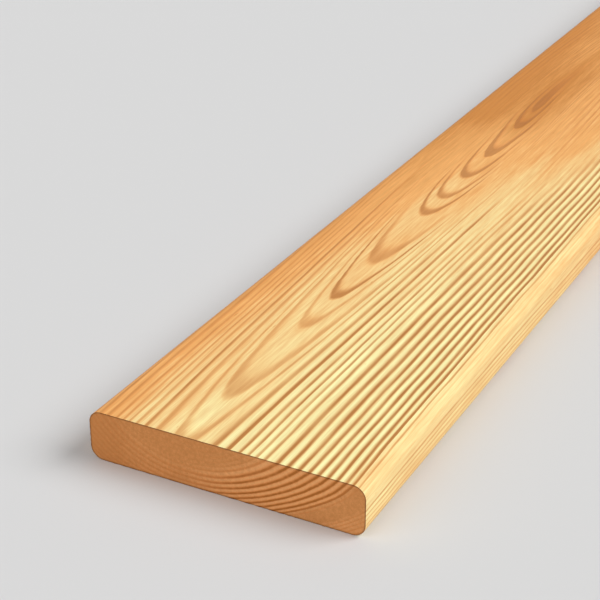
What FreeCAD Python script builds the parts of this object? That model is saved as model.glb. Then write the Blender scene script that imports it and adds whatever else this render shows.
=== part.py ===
"""Decking board: one length of planed softwood with rounded long arrises and square-sawn ends.

The board lies flat. Its length runs along Y, its width along X and its thickness up Z.
The origin is the centre of the underside. All sizes are in millimetres.
"""
import FreeCAD, Part
import enum
import math
import os

import Sketcher

# Driving dimensions: cell alias, value, what it is.
# The section is the dressed size of nominal 5/4 x 6 radius-edge decking, in its 8 ft length.
DRIVING_DIMENSIONS = [
    ("board_length", 2438.4, "end to end, square-sawn"),
    ("board_width", 139.7, "across the walking face"),
    ("board_thickness", 25.4, "underside to walking face"),
    ("arris_radius", 6.35, "rounding of the four long arrises"),
]


class Sketched(enum.IntEnum):
    """How a sketch numbers the ends of a line or arc, and the element whose start is its origin."""

    START = 1
    END = 2
    ORIGIN = -1


def add_sizes(doc):
    """The spreadsheet that holds the driving dimensions, one row for each."""
    sheet = doc.addObject("Spreadsheet::Sheet", "Sizes")
    for row, (alias, value, meaning) in enumerate(DRIVING_DIMENSIONS, start=1):
        sheet.set(f"A{row}", alias)
        sheet.set(f"B{row}", str(value))
        sheet.setAlias(f"B{row}", alias)
        sheet.set(f"C{row}", meaning)
    doc.recompute()
    return sheet


def origin_plane(body, role):
    """One of the body's own origin planes, found by its role."""
    return next(feature for feature in body.Origin.OriginFeatures if feature.Role == role)


def draw_section(body, sizes):
    """The board's section: flat underside, two edges and walking face, joined by four tangent arcs."""
    sketch = body.newObject("Sketcher::SketchObject", "Section")
    sketch.AttachmentSupport = [(origin_plane(body, "XZ_Plane"), "")]
    sketch.MapMode = "FlatFace"

    half_width = sizes.board_width / 2
    height = sizes.board_thickness
    radius = sizes.arris_radius
    inner_x = half_width - radius
    low_z = radius
    high_z = height - radius

    def straight(x_start, z_start, x_end, z_end):
        return sketch.addGeometry(
            Part.LineSegment(FreeCAD.Vector(x_start, z_start, 0), FreeCAD.Vector(x_end, z_end, 0))
        )

    def quarter_round(x_centre, z_centre, start_angle):
        circle = Part.Circle(FreeCAD.Vector(x_centre, z_centre, 0), FreeCAD.Vector(0, 0, 1), radius)
        return sketch.addGeometry(Part.ArcOfCircle(circle, start_angle, start_angle + math.pi / 2))

    # Counter-clockwise round the section, from the left end of the underside.
    underside = straight(-inner_x, 0, inner_x, 0)
    lower_right = quarter_round(inner_x, low_z, -math.pi / 2)
    right_edge = straight(half_width, low_z, half_width, high_z)
    upper_right = quarter_round(inner_x, high_z, 0)
    walking_face = straight(inner_x, height, -inner_x, height)
    upper_left = quarter_round(-inner_x, high_z, math.pi / 2)
    left_edge = straight(-half_width, high_z, -half_width, low_z)
    lower_left = quarter_round(-inner_x, low_z, math.pi)

    outline = [
        underside, lower_right, right_edge, upper_right,
        walking_face, upper_left, left_edge, lower_left,
    ]
    for here, there in zip(outline, outline[1:] + outline[:1]):
        sketch.addConstraint(Sketcher.Constraint("Tangent", here, Sketched.END, there, Sketched.START))
    for face in (underside, walking_face):
        sketch.addConstraint(Sketcher.Constraint("Horizontal", face))
    for edge in (right_edge, left_edge):
        sketch.addConstraint(Sketcher.Constraint("Vertical", edge))
    for arc in (lower_right, upper_right, upper_left):
        sketch.addConstraint(Sketcher.Constraint("Equal", lower_left, arc))

    # The underside lies on the origin's level, centred on the board's middle.
    sketch.addConstraint(
        Sketcher.Constraint(
            "Symmetric", underside, Sketched.START, underside, Sketched.END, Sketched.ORIGIN, Sketched.START
        )
    )
    named_sizes = [
        ("board_width", Sketcher.Constraint(
            "DistanceX", left_edge, Sketched.START, right_edge, Sketched.END, sizes.board_width)),
        ("board_thickness", Sketcher.Constraint(
            "DistanceY", underside, Sketched.END, walking_face, Sketched.START, sizes.board_thickness)),
        ("arris_radius", Sketcher.Constraint("Radius", lower_left, sizes.arris_radius)),
    ]
    for name, constraint in named_sizes:
        index = sketch.addConstraint(constraint)
        sketch.renameConstraint(index, name)
        sketch.setExpression(f"Constraints.{name}", f"Sizes.{name}")
    return sketch


def build_board(doc, sizes):
    """The whole board: its section run out along its length, half each way from the origin."""
    body = doc.addObject("PartDesign::Body", "Board")
    body.Label = "decking_board"
    section = draw_section(body, sizes)
    doc.recompute()
    run = body.newObject("PartDesign::Pad", "Run")
    run.Profile = section
    run.SideType = "Symmetric"
    run.setExpression("Length", "Sizes.board_length")
    body.Tip = run
    return body


def check_document(doc, boards):
    """Stops before anything is written if an object failed or a board has no sound solid."""
    for item in doc.Objects:
        if "Invalid" in item.State or "Error" in item.State:
            raise RuntimeError(f"{item.Name} did not compute: {item.State}")
    for board in boards:
        if board.Shape.isNull() or not board.Shape.isValid() or len(board.Shape.Solids) != 1:
            raise RuntimeError(f"{board.Label} is not one sound solid")


def main():
    doc = FreeCAD.newDocument("DeckingBoard")
    sizes = add_sizes(doc)
    boards = [build_board(doc, sizes)]
    doc.recompute()
    check_document(doc, boards)
    os.makedirs("parts", exist_ok=True)
    for board in boards:
        board.Shape.exportStep(os.path.join("parts", f"{board.Label}.step"))
        box = board.Shape.BoundBox
        print(f"{board.Label}: {box.XLength:.2f} x {box.YLength:.2f} x {box.ZLength:.2f} mm,"
              f" x {box.XMin:.2f} y {box.YMin:.2f} z {box.ZMin:.2f}, volume {board.Shape.Volume:.1f} mm3")


main()
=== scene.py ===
"""Looks of a planed softwood decking board, lying on a pale studio floor.

The file is laid out as a Blender add-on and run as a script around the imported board. Places are in
metres in the board's own frame: width along X, length along Y, thickness up Z. The growth rings are
worked out in millimetres from the pith of the log, so that faces, edges and ends all cut the same rings.
"""
import math
from typing import NamedTuple

import bmesh
import bpy
import numpy as np
from bpy.props import FloatProperty, FloatVectorProperty, PointerProperty
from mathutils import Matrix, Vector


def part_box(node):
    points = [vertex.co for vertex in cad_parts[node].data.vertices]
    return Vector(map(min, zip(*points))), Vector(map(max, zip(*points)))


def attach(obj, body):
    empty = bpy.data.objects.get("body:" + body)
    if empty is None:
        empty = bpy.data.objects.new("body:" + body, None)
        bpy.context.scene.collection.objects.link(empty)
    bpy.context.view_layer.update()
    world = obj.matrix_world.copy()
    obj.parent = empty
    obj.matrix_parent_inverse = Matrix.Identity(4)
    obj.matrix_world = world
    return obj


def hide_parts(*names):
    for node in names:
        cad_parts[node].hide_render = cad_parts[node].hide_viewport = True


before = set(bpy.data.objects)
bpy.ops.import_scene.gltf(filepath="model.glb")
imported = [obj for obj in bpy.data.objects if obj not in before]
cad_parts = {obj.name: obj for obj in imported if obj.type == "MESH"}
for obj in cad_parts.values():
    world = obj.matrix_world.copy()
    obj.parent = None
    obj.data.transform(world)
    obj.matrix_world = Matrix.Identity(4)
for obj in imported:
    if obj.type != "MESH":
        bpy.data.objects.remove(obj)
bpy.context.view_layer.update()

bl_info = {
    "name": "Decking board",
    "version": (1, 0, 0),
    "blender": (4, 5, 0),
    "location": "3D View > Sidebar > Decking board",
    "description": "Models and finishes one planed softwood decking board on a studio floor",
    "category": "Object",
}

BOARD_NODE = "decking_board"
BOARD_BODY = "root"
BOARD_LOW, BOARD_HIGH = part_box(BOARD_NODE)
BOARD_SIZE = BOARD_HIGH - BOARD_LOW
BOARD_CENTRE = (BOARD_LOW + BOARD_HIGH) / 2
MM = 0.001

# How finely the board is divided: its wide faces, its narrow edges, its length and each rounded arris.
# Each list is one split after another, because one split makes at most 101 pieces.
WIDE_SPLITS = (2, 75)
EDGE_SPLITS = (16,)
LENGTH_SPLITS = (4, 60)
ARRIS_SEGMENTS = 8
# Faces that turn by less than this at an edge are shaded as one smooth surface.
SMOOTH_ANGLE = math.radians(40)
# A face belongs to a sawn end where its normal points this much along the board.
END_FACING = 0.9
# An edge belongs to the rim of an end when it lies this close to it.
RIM_TOLERANCE = 0.1 * MM


class Curve(NamedTuple):
    """A smooth curve through points, each a place and the value there, with values from low to high."""

    low: float
    high: float
    points: tuple


class Blotches(NamedTuple):
    """Soft noise, with blotches of a size across, along and through the board in millimetres."""

    size: tuple
    detail: float
    seed: float


# The log, in millimetres. Along the board the pith lies this high above the walking face,
PITH_ABOVE_FACE = Curve(0, 40, (
    (0, 20), (125, 15.6), (250, 10.9), (330, 6.9), (400, 3.6), (430, 2.8), (460, 1.8), (500, 1.2), (560, 1.2),
    (640, 3), (1150, 17), (1500, 9), (1900, 15), (2440, 26),
))
# and this far to the right of the board's left edge.
PITH_ACROSS = Curve(0, 140, (
    (0, 51), (60, 49.3), (150, 48.2), (270, 46.3), (420, 44), (470, 42.2), (520, 41), (600, 42.2), (900, 57),
    (1500, 79), (2440, 54),
))
# Rings are wider across the board than through it, by this share at a distance to the right of the pith.
RING_SQUEEZE = Curve(0, 1, (
    (-80, 0.78), (-43, 0.8), (-9, 0.77), (0, 0.6), (9, 0.74), (26, 0.73), (43, 0.7), (60, 0.666), (95, 0.62),
))
# Where the face comes close to the pith the rings beside it are flatter still, by this share along the
# board, in full up to the first distance from the pith and not at all past the second.
CORE_FLATNESS = Curve(0, 1, (
    (0, 0), (140, 0), (200, 0.1), (270, 0.2), (310, 0.27), (380, 0.28), (430, 0.42), (470, 0.46), (560, 0.3),
    (700, 0), (2440, 0),
))
CORE_REACH = (6, 22)
# Along the board the rings close up by this much.
RING_TAPER = Curve(0.9, 1.1, ((0, 1), (220, 1.033), (330, 1.036), (600, 1.04), (1200, 1.02), (2440, 1)))
# Rings are never quite round: each of these noises moves them by up to its reach. Between the two distances
# from the pith, the share of the reach goes from its first value to its second.
RING_WAVES = (
    (Blotches((45, 320, 45), 1.0, 19.7), 0.8),
    (Blotches((40, 75, 40), 1.0, 38.0), 0.5),
    (Blotches((6, 45, 6), 2.0, 5.2), 0.18),
    (Blotches((0.9, 14, 0.9), 2.0, 9.3), 0.1),
)
WAVE_DISTANCES = (6, 32)
WAVE_SHARES = (0.35, 1)
# How many rings lie within a distance of the pith.
RINGS_WITHIN = Curve(0, 54, (
    (0, 4), (2.9, 7), (4.8, 8), (6.95, 9), (8.8, 10), (10.3, 11), (13.4, 12), (15, 13), (16.35, 14), (19, 15),
    (20.5, 16), (23.3, 17), (28.8, 19), (35.35, 22), (38.5, 23), (52.7, 29), (56.45, 31), (64.3, 37),
    (68.3, 40), (90, 54),
))
# How hard one ring is, from its first soft wood to its last hard wood, and how hard each ring's line is.
RING_PROFILE = Curve(0, 1, (
    (0, 0.47), (0.07, 0.21), (0.15, 0.06), (0.26, 0), (0.4, 0.07), (0.52, 0.28), (0.63, 0.62), (0.74, 0.94),
    (0.86, 1), (0.94, 0.83), (1, 0.47),
))
LINE_STRENGTH = Curve(0, 2, (
    (0, 1.4), (6, 1.8), (7, 2), (8, 1.8), (9, 1.35), (10, 1.25), (11, 1.35), (12, 1.1), (13, 1.45),
    (14, 0.85), (15, 0.85), (16, 0.85), (17, 0.95), (18, 1.25), (19, 0.9), (20, 0.95), (21, 0.8), (23, 1),
    (25, 1.03), (30, 1.03), (31, 1.5), (32, 0.85), (33, 0.38), (34, 0.15), (36, 0.12), (37, 0.9), (38, 0.65),
    (41, 0.6), (45, 0.8), (54, 0.8),
))
# The lines of some rings are narrower or wider: the profile is raised to this power.
LINE_SHARPNESS = Curve(0, 4, (
    (0, 0.7), (6, 0.7), (7, 0.8), (8, 1.5), (9, 2.2), (11, 2.2), (12, 3), (13, 2.6), (14, 3), (15, 1.6),
    (16, 2.2), (17, 1.3), (18, 1.4), (19, 1.5), (22, 1.5), (23, 1.1), (24, 0.95), (25, 0.85), (31, 0.85),
    (32, 1.8), (38, 1.8), (41, 1.5), (45, 1), (54, 1),
))
# From this place along the board the line of a ring fades, soon by most of its strength and less further on.
LINE_FADES_FROM = Curve(0, 2400, (
    (0, 540), (6, 500), (7, 480), (8, 420), (9, 375), (10, 325), (11, 310), (12, 225), (13, 230), (14, 205),
    (15, 230), (16, 300), (17, 220), (18, 275), (19, 200), (20, 230), (21, 300), (22, 310), (23, 305),
    (24, 345), (25, 365), (27, 2400), (54, 2400),
))
LINE_FADING = Curve(0, 1, (
    (0, 0), (30, 0.35), (60, 0.75), (100, 0.86), (150, 0.76), (220, 0.4), (320, 0.15), (500, 0.1),
    (2440, 0.1),
))
# The lines are broken up a little along the grain.
LINE_BREAKS = Blotches((3, 30, 3), 2.0, 8.8)
LINE_BREAK_REACH = 0.35
# Where the wood is sawn across, only the lines of some rings stand out, and less on the left.
SAWN_LINE_STRENGTH = Curve(0, 1, (
    (0, 0.1), (20, 0.2), (22, 0.5), (24, 1), (30, 1), (32, 0.35), (36, 0.1), (38, 0.6), (54, 0.4),
))
SAWN_LINES_ACROSS = Curve(0, 1, ((0, 0.45), (35, 0.55), (60, 0.7), (82, 1), (140, 1)))
# The wood's tone is 0 in pale sapwood, 1 in orange heartwood and 2 in the brown core. It changes across
# the board from its left edge, and also along the board from its near end, most of all in the heartwood.
TONE_ACROSS = Curve(0, 2, (
    (0, 1.2), (12, 1), (30, 0.57), (50, 0.51), (80, 0.14), (100, 0.05), (125, 0.04), (134, 0.32), (140, 0.53),
))
TONE_ALONG = Curve(0, 2, (
    (0, 0), (150, 0.2), (220, 0.36), (300, 0.62), (350, 0.84), (400, 1.1), (450, 1.18), (600, 1.15),
    (750, 1.05), (1000, 0.9), (1700, 0.6), (2440, 0.3),
))
HEART_ACROSS = Curve(0, 2, (
    (0, 0.5), (25, 0.63), (45, 0.6), (60, 0.6), (75, 0.77), (97, 0.7), (124, 0.18), (140, 0.3),
))
# Along the board the edge of the heartwood moves this far to the left.
HEART_SHIFT = Curve(0, 50, ((0, 0), (430, 0), (700, 22), (1200, 34), (1800, 26), (2440, 12)))
# One stretch of the board is browner by this much along it, up to a soft edge across the board,
CORE_ALONG = Curve(0, 2, (
    (0, 0), (395, 0), (430, 0.22), (465, 0.47), (520, 0.52), (600, 0.42), (750, 0.2), (1100, 0), (2440, 0),
))
CORE_EDGE = (53, 63)
# and so is the wood within a distance of the pith, in full up to the first and not at all past the second.
PITH_TONE = 0.35
PITH_REACH = (1.5, 5)
# The tone also changes in soft patches.
TONE_PATCHES = Blotches((16, 150, 16), 3.0, 1.3)
TONE_PATCH_REACH = 0.4
# The lines fade in the darker tones.
LINES_IN_TONE = Curve(0, 1, (
    (0, 1), (0.3, 0.9), (0.5, 0.74), (0.75, 0.72), (0.95, 0.82), (1.15, 0.72), (1.35, 0.66), (2, 0.6),
))
# As wood gets harder it loses blue first and red last: these powers of its hardness mix red, green and blue.
HARD_WOOD_POWERS = (1.6, 1.0, 0.86)
# Fine streaks of the fibres, and how much they change the wood's brightness, its tone and its bumps.
COARSE_FIBRE = Blotches((1.6, 38, 1.6), 2.0, 2.2)
FINE_FIBRE = Blotches((0.5, 12, 0.5), 2.0, 4.4)
COARSE_SHARE = 0.6
FINE_SHARE = 0.4
FIBRE_SHADE = 0.16
FIBRE_TONE = 0.5
FIBRE_BUMPS = 0.6
# The few short dark dashes along the grain begin and are darkest where their noise has these values.
DASHES = Blotches((1.3, 13, 1.3), 1.0, 6.6)
DASH_EDGE = (0.52, 0.7)
# The hard wood is less rough by this much.
HARD_WOOD_SMOOTHNESS = 0.1
# Painted shade: a dark line along the outline of each end stands in for the shadow line at its arris, and
# partly for the end's own darker sawn edge.
RIM_WIDTH = 1.1 * MM
RIM_SHADE_AND_EDGE_DARKNESS = 0.6

# The map that the board's looks are baked to: shares of its height for the long faces and for the ends above
# them, and the share of its width for each end.
LONG_FACES_HEIGHT = 0.91
ENDS_START = 0.918
ENDS_HEIGHT = 0.078
END_WIDTH = 0.48

# The studio: a floor wide enough to fill the view, and the camera's sensor in millimetres.
FLOOR_SIZE = 30
FLOOR_ROUGHNESS = 0.9
FLOOR_GLOSS = 0.1
LAMP_PLACE = (0, 0, 2)
SENSOR_WIDTH = 36
CAMERA_NEAR_LIMIT = 0.01


def srgb(red, green, blue):
    """A colour written as a screen shows it, 0 to 255, as the linear values that shaders read."""
    shown = (channel / 255 for channel in (red, green, blue))
    linear = (c / 12.92 if c <= 0.04045 else ((c + 0.055) / 1.055) ** 2.4 for c in shown)
    return (*linear, 1.0)


def colour_property(name, description, default):
    return FloatVectorProperty(
        name=name, description=description, default=default, subtype="COLOR", size=4, min=0, max=1
    )


class BoardShape(bpy.types.PropertyGroup):
    """Sizes of the board that its box doesn't give."""

    arris_radius: FloatProperty(
        name="Arris radius", description="Rounding of the four long arrises",
        default=6.35 * MM, min=1 * MM, max=12 * MM, subtype="DISTANCE", unit="LENGTH",
    )
    grain_relief: FloatProperty(
        name="Grain relief", description="How far the soft wood of each ring lies below the hard wood",
        default=0.1 * MM, min=0, max=1 * MM, subtype="DISTANCE", unit="LENGTH", precision=5,
    )


class WoodFinish(bpy.types.PropertyGroup):
    """Colours of the planed faces and of the sawn ends."""

    sap_early: colour_property("Sapwood, soft", "Soft wood of a ring near the bark", srgb(255, 252, 186))
    sap_late: colour_property("Sapwood, hard", "Hard line of a ring near the bark", srgb(182, 120, 60))
    heart_early: colour_property("Heartwood, soft", "Soft wood of a ring near the pith", srgb(242, 178, 106))
    heart_late: colour_property("Heartwood, hard", "Hard line of a ring near the pith", srgb(200, 136, 72))
    core_early: colour_property("Core, soft", "Soft wood beside the pith", srgb(207, 138, 66))
    core_late: colour_property("Core, hard", "Hard line beside the pith", srgb(184, 115, 48))
    end_sap_early: colour_property("Sawn sapwood, soft", "Soft sapwood sawn across", srgb(235, 168, 108))
    end_sap_late: colour_property("Sawn sapwood, hard", "Hard sapwood sawn across", srgb(172, 104, 44))
    end_heart_early: colour_property("Sawn heartwood, soft", "Soft heartwood sawn across", srgb(204, 136, 78))
    end_heart_late: colour_property("Sawn heartwood, hard", "Hard heartwood sawn across", srgb(185, 114, 60))


class StudioSetup(bpy.types.PropertyGroup):
    """Floor, light and camera."""

    floor_colour: colour_property("Floor", "Colour of the floor and the background", srgb(217, 217, 217))
    sky_strength: FloatProperty(
        name="Sky", description="Light that comes evenly from all round", default=0.3, min=0,
    )
    key_strength: FloatProperty(
        name="Key light", description="Light from the right and a little behind, on a face turned to it",
        default=0.73, min=0,
    )
    fill_strength: FloatProperty(
        name="Fill light", description="Light from the front, on a face turned to it", default=0.37, min=0,
    )
    camera_place: FloatVectorProperty(
        name="Camera place", description="From the near left corner of the board's underside",
        default=(0.36866, -0.49777, 0.38926), subtype="TRANSLATION", unit="LENGTH",
    )
    camera_yaw: FloatProperty(
        name="Camera turn", description="Turn to the left of the board's length",
        default=math.radians(27.606), subtype="ANGLE",
    )
    camera_pitch: FloatProperty(
        name="Camera tilt", description="Tilt below the horizon",
        default=math.radians(26.741), subtype="ANGLE",
    )
    camera_lens: FloatProperty(
        name="Lens", description="Focal length on a sensor 36 mm wide", default=93.86, unit="CAMERA",
    )


class NodeSheet:
    """Adds nodes to one shader or geometry tree, already set and linked."""

    NODES_IN_A_ROW = 8
    NODE_STEP = 240

    def __init__(self, tree):
        self.tree = tree

    def node(self, kind, inputs=None, **settings):
        """A new node. An input is named or numbered, and is given a value or another node's output."""
        made = self.tree.nodes.new(kind)
        row, column = divmod(len(self.tree.nodes), self.NODES_IN_A_ROW)
        made.location = (column * self.NODE_STEP, -row * self.NODE_STEP)
        for name, value in settings.items():
            setattr(made, name, value)
        for key, value in (inputs or {}).items():
            if isinstance(value, bpy.types.NodeSocket):
                self.tree.links.new(value, made.inputs[key])
            else:
                made.inputs[key].default_value = value
        return made

    def math(self, operation, *values):
        return self.node("ShaderNodeMath", dict(enumerate(values)), operation=operation).outputs[0]

    def vector_math(self, operation, *values):
        return self.node("ShaderNodeVectorMath", dict(enumerate(values)), operation=operation).outputs[0]

    def length(self, vector):
        return self.node("ShaderNodeVectorMath", {0: vector}, operation="LENGTH").outputs["Value"]

    def scaled(self, vector, amount):
        return self.node("ShaderNodeVectorMath", {0: vector, "Scale": amount}, operation="SCALE").outputs[0]

    def linear_step(self, value, start, end, low=0.0, high=1.0):
        """Goes evenly from low to high as the value goes from start to end, and stays there."""
        inputs = {0: value, 1: start, 2: end, 3: low, 4: high}
        return self.node("ShaderNodeMapRange", inputs, interpolation_type="LINEAR").outputs[0]

    def smooth_step(self, value, start, end, low=0.0, high=1.0):
        """Goes smoothly from low to high as the value goes from start to end, and stays there."""
        inputs = {0: value, 1: start, 2: end, 3: low, 4: high}
        return self.node("ShaderNodeMapRange", inputs, interpolation_type="SMOOTHSTEP").outputs[0]

    def curve(self, place, shape):
        """The value of a curve at a place."""
        low, high, points = shape
        start, end = points[0][0], points[-1][0]
        node = self.node("ShaderNodeFloatCurve", {"Value": self.linear_step(place, start, end)})
        line = node.mapping.curves[0]
        while len(line.points) < len(points):
            line.points.new(0.5, 0.5)
        for point, (across, up) in zip(line.points, points):
            point.location = ((across - start) / (end - start), (up - low) / (high - low))
            point.handle_type = "AUTO_CLAMPED"
        node.mapping.update()
        return self.linear_step(node.outputs[0], 0.0, 1.0, low, high)

    def noise(self, place, blotches):
        """Soft noise from -1 to 1 at a place in millimetres."""
        scaled = self.vector_math("DIVIDE", place, blotches.size)
        moved = self.vector_math("ADD", scaled, [blotches.seed] * 3)
        node = self.node("ShaderNodeTexNoise", {"Vector": moved, "Scale": 1.0, "Detail": blotches.detail})
        return self.linear_step(node.outputs[0], 0.0, 1.0, -1.0, 1.0)

    def mix(self, share, first, second):
        node = self.node("ShaderNodeMix", {0: share, 6: first, 7: second}, data_type="RGBA")
        return node.outputs[2]

    def mix_channels(self, shares, first, second):
        """Mixes two colours with a share for each of red, green and blue."""
        inputs = {1: shares, 4: first, 5: second}
        return self.node("ShaderNodeMix", inputs, data_type="VECTOR", factor_mode="NON_UNIFORM").outputs[1]


class Log:
    """The log that the board was sawn from, worked out by nodes at one place of the board."""

    def __init__(self, sheet, place):
        self.sheet = sheet
        self.place = sheet.vector_math("MULTIPLY", place, (1 / MM, 1 / MM, 1 / MM))
        x, y, z = sheet.node("ShaderNodeSeparateXYZ", {0: self.place}).outputs
        self.across = sheet.math("SUBTRACT", x, BOARD_LOW.x / MM)
        self.along = sheet.math("SUBTRACT", y, BOARD_LOW.y / MM)
        self.depth = sheet.math("SUBTRACT", BOARD_HIGH.z / MM, z)
        self.pith_distance = self.waver(self.distance_from_pith())
        self.tone = self.wood_tone()
        self.rings = sheet.curve(self.pith_distance, RINGS_WITHIN)
        self.line = sheet.math("CEIL", self.rings)
        self.hardness = self.ring_hardness()

    def distance_from_pith(self):
        """The distance as the rings have it, which are wider across the board than through it."""
        sheet = self.sheet
        below = sheet.math("ADD", self.depth, sheet.curve(self.along, PITH_ABOVE_FACE))
        beside = sheet.math("SUBTRACT", self.across, sheet.curve(self.along, PITH_ACROSS))
        near_pith = sheet.smooth_step(sheet.math("ABSOLUTE", beside), *CORE_REACH, 1.0, 0.0)
        flatness = sheet.math("MULTIPLY", near_pith, sheet.curve(self.along, CORE_FLATNESS))
        roundness = sheet.math("SUBTRACT", 1.0, flatness)
        squeeze = sheet.math("MULTIPLY", sheet.curve(beside, RING_SQUEEZE), roundness)
        squeezed = sheet.math("MULTIPLY", beside, squeeze)
        from_pith = sheet.node("ShaderNodeCombineXYZ", {0: squeezed, 1: below}).outputs[0]
        return sheet.math("MULTIPLY", sheet.length(from_pith), sheet.curve(self.along, RING_TAPER))

    def waver(self, distance):
        """The distance with a little wander along the log, more of it further from the pith."""
        sheet = self.sheet
        freedom = sheet.smooth_step(distance, *WAVE_DISTANCES, *WAVE_SHARES)
        for waves, reach in RING_WAVES:
            shift = sheet.math("MULTIPLY", sheet.noise(self.place, waves), freedom)
            distance = sheet.math("MULTIPLY_ADD", shift, reach, distance)
        return distance

    def wood_tone(self):
        """0 in the pale sapwood, 1 in the orange heartwood, 2 in the brown core."""
        sheet = self.sheet
        across = sheet.curve(self.across, TONE_ACROSS)
        along = sheet.curve(self.along, TONE_ALONG)
        shifted = sheet.math("ADD", self.across, sheet.curve(self.along, HEART_SHIFT))
        heart = sheet.curve(shifted, HEART_ACROSS)
        tone = sheet.math("MULTIPLY_ADD", along, heart, across)
        within_core = sheet.smooth_step(self.across, *CORE_EDGE, 1.0, 0.0)
        tone = sheet.math("MULTIPLY_ADD", sheet.curve(self.along, CORE_ALONG), within_core, tone)
        tone = sheet.math("ADD", tone, sheet.smooth_step(self.pith_distance, *PITH_REACH, PITH_TONE, 0.0))
        return sheet.math("MULTIPLY_ADD", sheet.noise(self.place, TONE_PATCHES), TONE_PATCH_REACH, tone)

    def ring_hardness(self):
        """0 in the soft wood of a ring and up to 1 in its hard wood."""
        sheet = self.sheet
        profile = sheet.curve(sheet.math("FRACT", self.rings), RING_PROFILE)
        profile = sheet.math("POWER", profile, sheet.curve(self.line, LINE_SHARPNESS))
        in_tone = sheet.curve(self.tone, LINES_IN_TONE)
        strength = sheet.math("MULTIPLY", sheet.curve(self.line, LINE_STRENGTH), in_tone)
        past = sheet.math("SUBTRACT", self.along, sheet.curve(self.line, LINE_FADES_FROM))
        kept = sheet.math("SUBTRACT", 1.0, sheet.curve(past, LINE_FADING))
        uneven = sheet.math("MULTIPLY_ADD", sheet.noise(self.place, LINE_BREAKS), LINE_BREAK_REACH, kept)
        hardness = sheet.math("MULTIPLY", sheet.math("MULTIPLY", profile, strength), uneven)
        return sheet.linear_step(hardness, 0.0, 1.0)

    def fibre(self):
        """Fine streaks along the grain, and fine speckle where the grain is cut across."""
        sheet = self.sheet
        coarse = sheet.math("MULTIPLY", sheet.noise(self.place, COARSE_FIBRE), COARSE_SHARE)
        return sheet.math("MULTIPLY_ADD", sheet.noise(self.place, FINE_FIBRE), FINE_SHARE, coarse)

    def dashes(self):
        """1 in the few short dark dashes along the grain."""
        return self.sheet.smooth_step(self.sheet.noise(self.place, DASHES), *DASH_EDGE)


def new_group(name, kind, sockets):
    """A node group with named sockets: (name, in or out, type). Returns its sheet, input and output nodes."""
    tree = bpy.data.node_groups.new(name, kind)
    for socket_name, direction, socket_type in sockets:
        tree.interface.new_socket(socket_name, in_out=direction, socket_type=socket_type)
    sheet = NodeSheet(tree)
    return sheet, sheet.node("NodeGroupInput"), sheet.node("NodeGroupOutput")


def rim_of_end(sheet, place, arris_radius):
    """1 at the outline of the sawn end, falling to 0 a little inside it."""
    half = BOARD_SIZE / 2
    centred = sheet.vector_math("ABSOLUTE", sheet.vector_math("SUBTRACT", place, BOARD_CENTRE))
    past = sheet.vector_math("SUBTRACT", centred, (half.x - arris_radius, half.y, half.z - arris_radius))
    past = sheet.vector_math("MAXIMUM", past, (0, 0, 0))
    return sheet.smooth_step(sheet.length(past), arris_radius - RIM_WIDTH, arris_radius)


def growth_ring_group(arris_radius):
    """The wood's colour, hardness and fibre at a place, shared by the planed faces and the sawn ends."""
    colours = ("Sap early", "Sap late", "Heart early", "Heart late", "Core early", "Core late")
    sheet, given, result = new_group("Growth rings", "ShaderNodeTree", [
        ("Place", "INPUT", "NodeSocketVector"),
        ("Sawn", "INPUT", "NodeSocketFloat"),
        *((name, "INPUT", "NodeSocketColor") for name in colours),
        ("Color", "OUTPUT", "NodeSocketColor"),
        ("Hardness", "OUTPUT", "NodeSocketFloat"),
        ("Fibre", "OUTPUT", "NodeSocketFloat"),
    ])
    place, sawn = given.outputs["Place"], given.outputs["Sawn"]
    log = Log(sheet, place)
    # On a sawn end the wood is of one heartwood tone where its lines don't stand out.
    shown = sheet.curve(log.line, SAWN_LINE_STRENGTH)
    shown = sheet.math("MULTIPLY", shown, sheet.curve(log.across, SAWN_LINES_ACROSS))
    plain = sheet.math("MULTIPLY", sawn, sheet.math("SUBTRACT", 1.0, shown))
    fibre = log.fibre()
    tone = sheet.math("MULTIPLY_ADD", plain, sheet.math("SUBTRACT", 1.0, log.tone), log.tone)
    tone = sheet.math("MULTIPLY_ADD", fibre, -FIBRE_TONE, tone)
    hardness = sheet.math("MULTIPLY", log.hardness, sheet.math("SUBTRACT", 1.0, plain))
    past_heart = sheet.math("SUBTRACT", tone, 1.0)
    soft, hard = (
        sheet.mix(past_heart, sheet.mix(tone, given.outputs[f"Sap {part}"], given.outputs[f"Heart {part}"]),
                  given.outputs[f"Core {part}"])
        for part in ("early", "late")
    )
    darkest = sheet.math("MAXIMUM", hardness, log.dashes())
    shares = [sheet.math("POWER", darkest, power) for power in HARD_WOOD_POWERS]
    shares = sheet.node("ShaderNodeCombineXYZ", dict(enumerate(shares))).outputs[0]
    wood = sheet.mix_channels(shares, soft, hard)
    # Painted shade along the outline of a sawn end, partly also its own darker sawn edge.
    rim = sheet.math("MULTIPLY", sawn, rim_of_end(sheet, place, arris_radius))
    shade = sheet.math("MULTIPLY_ADD", fibre, FIBRE_SHADE, 1.0)
    shade = sheet.math("MULTIPLY_ADD", rim, -RIM_SHADE_AND_EDGE_DARKNESS, shade)
    sheet.tree.links.new(sheet.scaled(wood, shade), result.inputs["Color"])
    sheet.tree.links.new(hardness, result.inputs["Hardness"])
    sheet.tree.links.new(fibre, result.inputs["Fibre"])
    return sheet.tree


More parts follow.
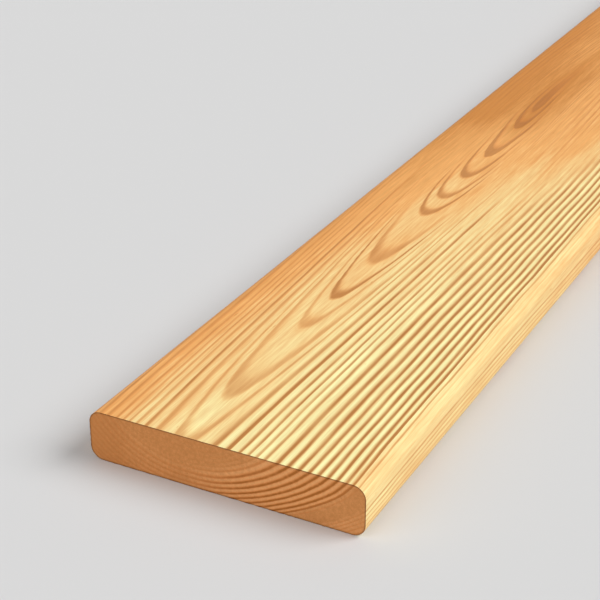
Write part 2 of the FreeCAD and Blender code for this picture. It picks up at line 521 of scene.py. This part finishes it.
def wood_material(name, group, inputs, roughness, gloss, relief):
    """Wood with these inputs of the group, smoother where it is hard, and with bumps along its fibres."""
    material = bpy.data.materials.new(name)
    material.use_nodes = True
    material.node_tree.nodes.clear()
    sheet = NodeSheet(material.node_tree)
    place = sheet.node("ShaderNodeTexCoord").outputs["Object"]
    rings = sheet.node("ShaderNodeGroup", node_tree=group)
    sheet.tree.links.new(place, rings.inputs["Place"])
    for socket, value in inputs.items():
        rings.inputs[socket].default_value = value
    hardness = rings.outputs["Hardness"]
    height = sheet.math("MULTIPLY_ADD", rings.outputs["Fibre"], FIBRE_BUMPS, hardness)
    bump = sheet.node("ShaderNodeBump", {"Height": height, "Strength": 1.0, "Distance": relief})
    shader = sheet.node("ShaderNodeBsdfPrincipled", {
        "Base Color": rings.outputs["Color"],
        "Roughness": sheet.linear_step(hardness, 0.0, 1.0, roughness, roughness - HARD_WOOD_SMOOTHNESS),
        "Specular IOR Level": gloss,
        "Normal": bump.outputs["Normal"],
    })
    sheet.node("ShaderNodeOutputMaterial", {"Surface": shader.outputs["BSDF"]})
    return material


def planed_material(group, finish):
    return wood_material("planed_softwood", group, {
        "Sawn": 0.0,
        "Sap early": finish.sap_early, "Sap late": finish.sap_late,
        "Heart early": finish.heart_early, "Heart late": finish.heart_late,
        "Core early": finish.core_early, "Core late": finish.core_late,
    }, roughness=0.62, gloss=0.2, relief=0.05 * MM)


def sawn_material(group, finish):
    return wood_material("sawn_end_grain", group, {
        "Sawn": 1.0,
        "Sap early": finish.end_sap_early, "Sap late": finish.end_sap_late,
        "Heart early": finish.end_heart_early, "Heart late": finish.end_heart_late,
        "Core early": finish.end_heart_early, "Core late": finish.end_heart_late,
    }, roughness=0.8, gloss=0.1, relief=0.1 * MM)


def deselect_all():
    if bpy.context.mode != "OBJECT":
        bpy.ops.object.mode_set(mode="OBJECT")
    bpy.ops.object.select_all(action="DESELECT")


def select_parts(mesh, kind, wanted):
    """Selects only those edges or faces of the edited mesh that pass a test."""
    bpy.ops.mesh.select_mode(type=kind)
    bpy.ops.mesh.select_all(action="DESELECT")
    edited = bmesh.from_edit_mesh(mesh)
    for part in edited.edges if kind == "EDGE" else edited.faces:
        if wanted(part):
            part.select_set(True)
    bmesh.update_edit_mesh(mesh)


def edge_run(edge, axis):
    """How far an edge goes along an axis."""
    start, end = edge.verts
    return abs(start.co[axis] - end.co[axis])


def split_edges(mesh, axis, longer_than, splits):
    """Divides the edges along an axis that are longer than a length, once for each number of pieces."""
    for pieces in splits:
        select_parts(mesh, "EDGE", lambda edge: edge_run(edge, axis) > longer_than)
        bpy.ops.mesh.subdivide(number_cuts=pieces - 1)


def close_end(mesh, side):
    """Fills one open end with an even grid of faces. The side is -1 at the near end and 1 at the far end."""
    end = side * BOARD_SIZE.y / 2 + BOARD_CENTRE.y
    select_parts(mesh, "EDGE", lambda edge: edge.is_boundary and all(
        abs(vertex.co.y - end) < RIM_TOLERANCE for vertex in edge.verts))
    edited = bmesh.from_edit_mesh(mesh)
    rim = [vertex for vertex in edited.verts if vertex.select]
    # The grid starts at a lower corner and climbs the edge beside it.
    first_corner = max(rim, key=lambda vertex: -side * vertex.co.x - vertex.co.z)
    edited.select_history.clear()
    edited.select_history.add(first_corner)
    bpy.ops.mesh.fill_grid(span=math.prod(EDGE_SPLITS) + ARRIS_SEGMENTS)


def shape_board(arris_radius):
    """The plain board: a box with rounded long arrises, divided finely enough to carry its grain."""
    deselect_all()
    bpy.ops.mesh.primitive_cube_add(size=1, location=BOARD_CENTRE, scale=BOARD_SIZE)
    board = bpy.context.object
    board.name = board.data.name = "board"
    bpy.ops.object.transform_apply(location=True, rotation=True, scale=True)
    mesh = board.data
    bpy.ops.object.mode_set(mode="EDIT")
    select_parts(mesh, "FACE", lambda face: abs(face.normal.y) > END_FACING)
    bpy.ops.mesh.delete(type="FACE")
    select_parts(mesh, "EDGE", lambda edge: edge_run(edge, 1) > BOARD_SIZE.y / 2)
    bpy.ops.mesh.bevel(offset=arris_radius, segments=ARRIS_SEGMENTS, profile=0.5, affect="EDGES")
    split_edges(mesh, 0, arris_radius, WIDE_SPLITS)
    split_edges(mesh, 2, arris_radius, EDGE_SPLITS)
    split_edges(mesh, 1, BOARD_SIZE.z, LENGTH_SPLITS)
    for side in (-1, 1):
        close_end(mesh, side)
    bpy.ops.mesh.select_all(action="SELECT")
    bpy.ops.mesh.normals_make_consistent(inside=False)
    bpy.ops.object.mode_set(mode="OBJECT")
    return board


def half_girth(across, up, radius):
    """The way round the section from the middle of the underside to a place on its right half."""
    width, height = BOARD_SIZE.x, BOARD_SIZE.z
    flat_end = width / 2 - radius
    quarter = math.pi / 2 * radius
    edge_start = flat_end + quarter
    edge_end = edge_start + height - 2 * radius
    out = across - flat_end
    return np.select(
        [
            (out <= 0) & (up < height / 2),
            (out > 0) & (up < radius),
            (out > 0) & (up <= height - radius),
            out > 0,
        ],
        [
            across,
            flat_end + radius * np.arctan2(out, radius - up),
            edge_start + up - radius,
            edge_end + radius * np.arctan2(up - height + radius, out),
        ],
        edge_end + quarter + flat_end - across,
    )


def values_of(items, name, size=1, kind=float):
    """One value of each item, or a row of values for each where the size is more than 1."""
    values = np.empty(len(items) * size, dtype=kind)
    items.foreach_get(name, values)
    return values.reshape(-1, size) if size > 1 else values


def add_bake_map(board, arris_radius):
    """Lays the board out on one map: length along U and girth along V, with the ends side by side above."""
    mesh = board.data
    places = values_of(mesh.vertices, "co", 3)[values_of(mesh.loops, "vertex_index", kind=int)]
    across, along, up = (places - np.array([BOARD_CENTRE.x, BOARD_LOW.y, BOARD_LOW.z])).T
    corners = values_of(mesh.polygons, "loop_total", kind=int)
    facing = np.repeat(values_of(mesh.polygons, "normal", 3)[:, 1], corners)
    left = np.repeat(values_of(mesh.polygons, "center", 3)[:, 0] < BOARD_CENTRE.x, corners)

    half = half_girth(np.abs(across), up, arris_radius)
    girth = 2 * float(half_girth(np.array(0.0), np.array(BOARD_SIZE.z), arris_radius))
    round_share = np.where(left, girth - half, half) / girth
    on_end = np.abs(facing) > END_FACING
    end_across = (across / BOARD_SIZE.x + 0.5) * END_WIDTH + np.where(facing > 0, 1 - END_WIDTH, 0)
    u = np.where(on_end, end_across, along / BOARD_SIZE.y)
    v = np.where(on_end, ENDS_START + up / BOARD_SIZE.z * ENDS_HEIGHT, round_share * LONG_FACES_HEIGHT)
    layer = mesh.uv_layers.new(name="OFBake")
    layer.uv.foreach_set("vector", np.stack([u, v], axis=1).astype(np.float32).ravel())


def relief_group(depth):
    """Sinks the soft wood of each ring a little below the planed surface."""
    sheet, given, result = new_group("Grain relief", "GeometryNodeTree", [
        ("Geometry", "INPUT", "NodeSocketGeometry"),
        ("Geometry", "OUTPUT", "NodeSocketGeometry"),
    ])
    log = Log(sheet, sheet.node("GeometryNodeInputPosition").outputs[0])
    sink = sheet.linear_step(log.hardness, 0.0, 1.0, -depth, 0.0)
    normal = sheet.node("GeometryNodeInputNormal").outputs[0]
    offset = sheet.scaled(normal, sink)
    moved = sheet.node("GeometryNodeSetPosition", {"Geometry": given.outputs[0], "Offset": offset})
    sheet.tree.links.new(moved.outputs[0], result.inputs[0])
    return sheet.tree


def raise_grain(board, depth):
    modifier = board.modifiers.new("Grain relief", "NODES")
    modifier.node_group = relief_group(depth)
    bpy.ops.object.modifier_apply(modifier=modifier.name)
    bpy.ops.object.shade_smooth_by_angle(angle=SMOOTH_ANGLE)


class DECKING_OT_board(bpy.types.Operator):
    """Models the board and gives its faces and ends their wood"""

    bl_idname = "decking.board"
    bl_label = "Model board"

    def execute(self, context):
        shape = context.scene.decking_shape
        finish = context.scene.decking_finish
        board = shape_board(shape.arris_radius)
        add_bake_map(board, shape.arris_radius)
        rings = growth_ring_group(shape.arris_radius)
        board.data.materials.append(planed_material(rings, finish))
        board.data.materials.append(sawn_material(rings, finish))
        for face in board.data.polygons:
            face.material_index = int(abs(face.normal.y) > END_FACING)
        raise_grain(board, shape.grain_relief)
        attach(board, BOARD_BODY)
        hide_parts(BOARD_NODE)
        return {"FINISHED"}


def lay_floor(colour):
    deselect_all()
    below_board = (BOARD_CENTRE.x, BOARD_CENTRE.y, BOARD_LOW.z)
    bpy.ops.mesh.primitive_plane_add(size=FLOOR_SIZE, location=below_board)
    floor = bpy.context.object
    floor.name = "floor"
    material = bpy.data.materials.new("pale_floor")
    material.use_nodes = True
    shader = material.node_tree.nodes["Principled BSDF"]
    shader.inputs["Base Color"].default_value = colour
    shader.inputs["Roughness"].default_value = FLOOR_ROUGHNESS
    shader.inputs["Specular IOR Level"].default_value = FLOOR_GLOSS
    floor.data.materials.append(material)


def light_sky(scene, colour, strength):
    """Even light from all round, which the camera sees in the floor's colour."""
    world = bpy.data.worlds.new("studio")
    scene.world = world
    world.use_nodes = True
    world.node_tree.nodes.clear()
    sheet = NodeSheet(world.node_tree)
    rays = sheet.node("ShaderNodeLightPath").outputs
    seen = sheet.math("MAXIMUM", rays["Is Camera Ray"], rays["Is Glossy Ray"])
    seen = sheet.math("MAXIMUM", seen, rays["Is Transmission Ray"])
    light = sheet.node("ShaderNodeBackground", {"Color": (1, 1, 1, 1), "Strength": strength})
    backdrop = sheet.node("ShaderNodeBackground", {"Color": colour, "Strength": 1.0})
    mixed = sheet.node("ShaderNodeMixShader", {0: seen, 1: light.outputs[0], 2: backdrop.outputs[0]})
    sheet.node("ShaderNodeOutputWorld", {"Surface": mixed.outputs[0]})


def hang_lamp(name, strength, azimuth, elevation, spread):
    """A far, wide lamp. Azimuth 0 is in front of the near end and 90 is on the right, in degrees."""
    deselect_all()
    turn = (math.radians(90 - elevation), 0, math.radians(azimuth))
    bpy.ops.object.light_add(type="SUN", location=LAMP_PLACE, rotation=turn)
    lamp = bpy.context.object
    lamp.name = lamp.data.name = name
    lamp.data.energy = strength * math.pi
    lamp.data.angle = math.radians(spread)


def place_camera(scene, studio):
    place = [corner + offset for corner, offset in zip(BOARD_LOW, studio.camera_place)]
    turn = (math.pi / 2 - studio.camera_pitch, 0, studio.camera_yaw)
    bpy.ops.object.camera_add(location=place, rotation=turn)
    camera = bpy.context.object
    camera.name = "camera"
    camera.data.sensor_width = SENSOR_WIDTH
    camera.data.lens = studio.camera_lens
    camera.data.clip_start = CAMERA_NEAR_LIMIT
    scene.camera = camera


class DECKING_OT_stage(bpy.types.Operator):
    """Sets the floor, the light and the camera"""

    bl_idname = "decking.stage"
    bl_label = "Set stage"

    def execute(self, context):
        studio = context.scene.decking_studio
        lay_floor(studio.floor_colour)
        light_sky(context.scene, studio.floor_colour, studio.sky_strength)
        hang_lamp("key_lamp", studio.key_strength, azimuth=115, elevation=42, spread=40)
        hang_lamp("fill_lamp", studio.fill_strength, azimuth=-20, elevation=35, spread=60)
        place_camera(context.scene, studio)
        context.scene.view_settings.view_transform = "Standard"
        return {"FINISHED"}


class DECKING_PT_panel(bpy.types.Panel):
    """Sizes, colours and steps of the decking board"""

    bl_label = "Decking board"
    bl_idname = "DECKING_PT_panel"
    bl_space_type = "VIEW_3D"
    bl_region_type = "UI"
    bl_category = "Decking board"

    def draw(self, context):
        scene = context.scene
        for group in (scene.decking_shape, scene.decking_finish, scene.decking_studio):
            column = self.layout.column()
            for name in group.__annotations__:
                column.prop(group, name)
        self.layout.operator("decking.board")
        self.layout.operator("decking.stage")


CLASSES = (
    BoardShape, WoodFinish, StudioSetup, DECKING_OT_board, DECKING_OT_stage, DECKING_PT_panel,
)


def register():
    for cls in CLASSES:
        bpy.utils.register_class(cls)
    bpy.types.Scene.decking_shape = PointerProperty(type=BoardShape)
    bpy.types.Scene.decking_finish = PointerProperty(type=WoodFinish)
    bpy.types.Scene.decking_studio = PointerProperty(type=StudioSetup)


def unregister():
    del bpy.types.Scene.decking_studio
    del bpy.types.Scene.decking_finish
    del bpy.types.Scene.decking_shape
    for cls in reversed(CLASSES):
        bpy.utils.unregister_class(cls)


def main():
    register()
    bpy.ops.decking.board()
    bpy.ops.decking.stage()


if __name__ == "__main__":
    main()
